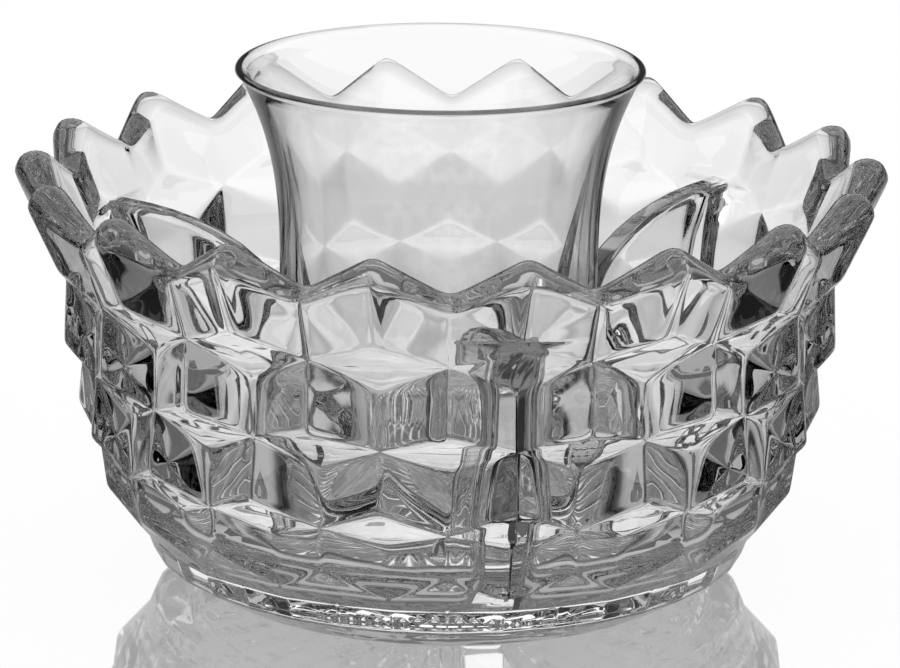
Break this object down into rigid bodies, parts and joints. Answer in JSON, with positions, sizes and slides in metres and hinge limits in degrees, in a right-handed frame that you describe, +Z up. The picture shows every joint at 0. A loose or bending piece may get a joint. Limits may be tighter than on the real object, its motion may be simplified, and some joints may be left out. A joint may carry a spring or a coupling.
{
  "type": "ice dish",
  "caption": "Heavy clear glass ice dish with stacked cube relief, zigzag rim and inner lugs, holding a flared glass liner.",
  "frame": {"origin": "middle of the foot, on the surface that the dish stands on", "axes": "+Z up along the dish's axis; -Y is the front, as pictured; +X is the viewer's right"},
  "size_m": [0.14, 0.1378, 0.0833],
  "materials": {
    "pressed_glass": "clear, fire polished, with soft mould waves",
    "blown_glass": "clear and smooth, thin at the lip"
  },
  "bodies": {
    "root": {"dish": "pressed_glass", "liner": "blown_glass"}
  },
  "joints": []
}
